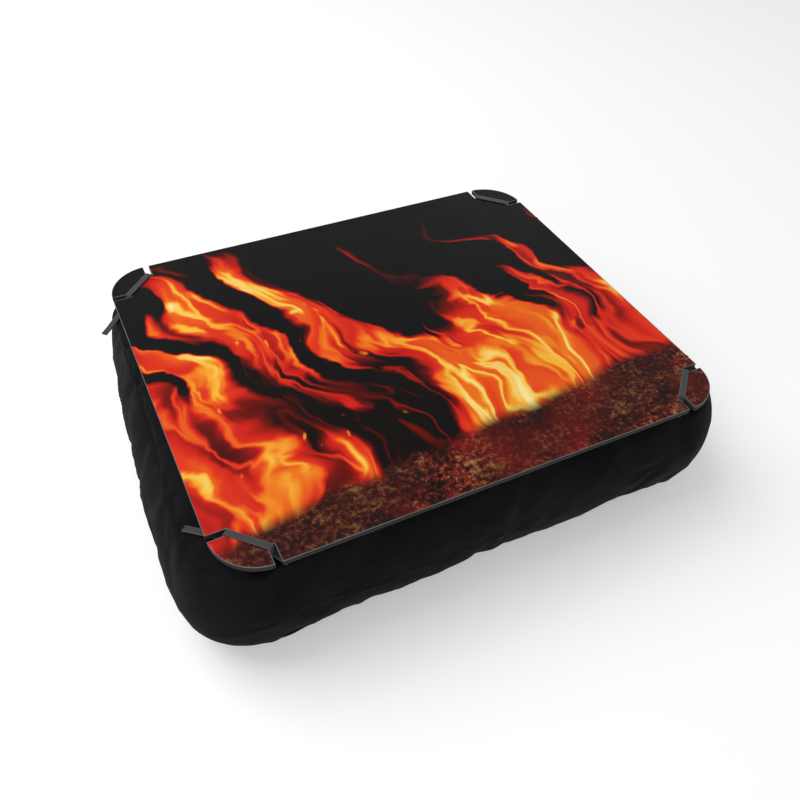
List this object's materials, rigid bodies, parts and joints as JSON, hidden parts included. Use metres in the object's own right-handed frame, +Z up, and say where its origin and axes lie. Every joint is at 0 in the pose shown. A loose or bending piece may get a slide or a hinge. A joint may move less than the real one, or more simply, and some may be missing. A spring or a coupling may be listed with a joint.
{
  "type": "lap tray with cushion",
  "caption": "Lap tray: thin rounded board held by four elastic corner straps on a bead-filled box cushion with a zip in its back wall.",
  "frame": {"origin": "on the floor, under the middle of the whole object's box", "axes": "+X along the tray's long side to the right, +Y to the back wall with the zip, +Z up out of the tray's face"},
  "size_m": [0.44, 0.3528, 0.1091],
  "materials": {
    "board_core": "matte",
    "printed_sheet": "satin",
    "backing_sheet": "matte",
    "elastic": "matte",
    "cover_cloth": "matte",
    "liner_cloth": "matte",
    "beads": "matte",
    "zip_tape": "matte",
    "zip_plastic": "satin",
    "zip_metal": "satin"
  },
  "bodies": {
    "cushion": {"cover_top_panel": "cover_cloth", "cover_bottom_panel": "cover_cloth", "side_gusset": "cover_cloth", "back_gusset_upper": "cover_cloth", "back_gusset_lower": "cover_cloth", "liner_bag": "liner_cloth", "bead_fill": "beads", "strap_front_left": "elastic", "strap_front_right": "elastic", "strap_back_left": "elastic", "strap_back_right": "elastic", "zip_tape_upper": "zip_tape", "zip_tape_lower": "zip_tape", "zip_teeth_upper": "zip_plastic", "zip_teeth_lower": "zip_plastic", "zip_top_stops": "zip_metal", "zip_bottom_stop": "zip_metal"},
    "tray": {"tray_board": "board_core", "top_laminate": "printed_sheet", "backing_laminate": "backing_sheet"},
    "slider": {"zip_slider": "zip_metal"},
    "pull": {"zip_pull": "zip_metal"}
  },
  "joints": [
    {"name": "tray_lift", "type": "slide", "parent": "cushion", "child": "tray", "axis": [0, 0, 1], "range_m": [0, 0.08], "deforming": ["strap_front_left", "strap_front_right", "strap_back_left", "strap_back_right"]},
    {"name": "zip_slide", "type": "slide", "parent": "cushion", "child": "slider", "axis": [1, 0, 0], "range_m": [0, 0.261], "deforming": ["zip_teeth_upper", "zip_teeth_lower"]},
    {"name": "zip_pull_swing", "type": "hinge", "parent": "slider", "child": "pull", "pos_m": [-0.13425, 0.17447, 0.0545], "axis": [0, 0, 1], "range_deg": [0, 170]}
  ]
}
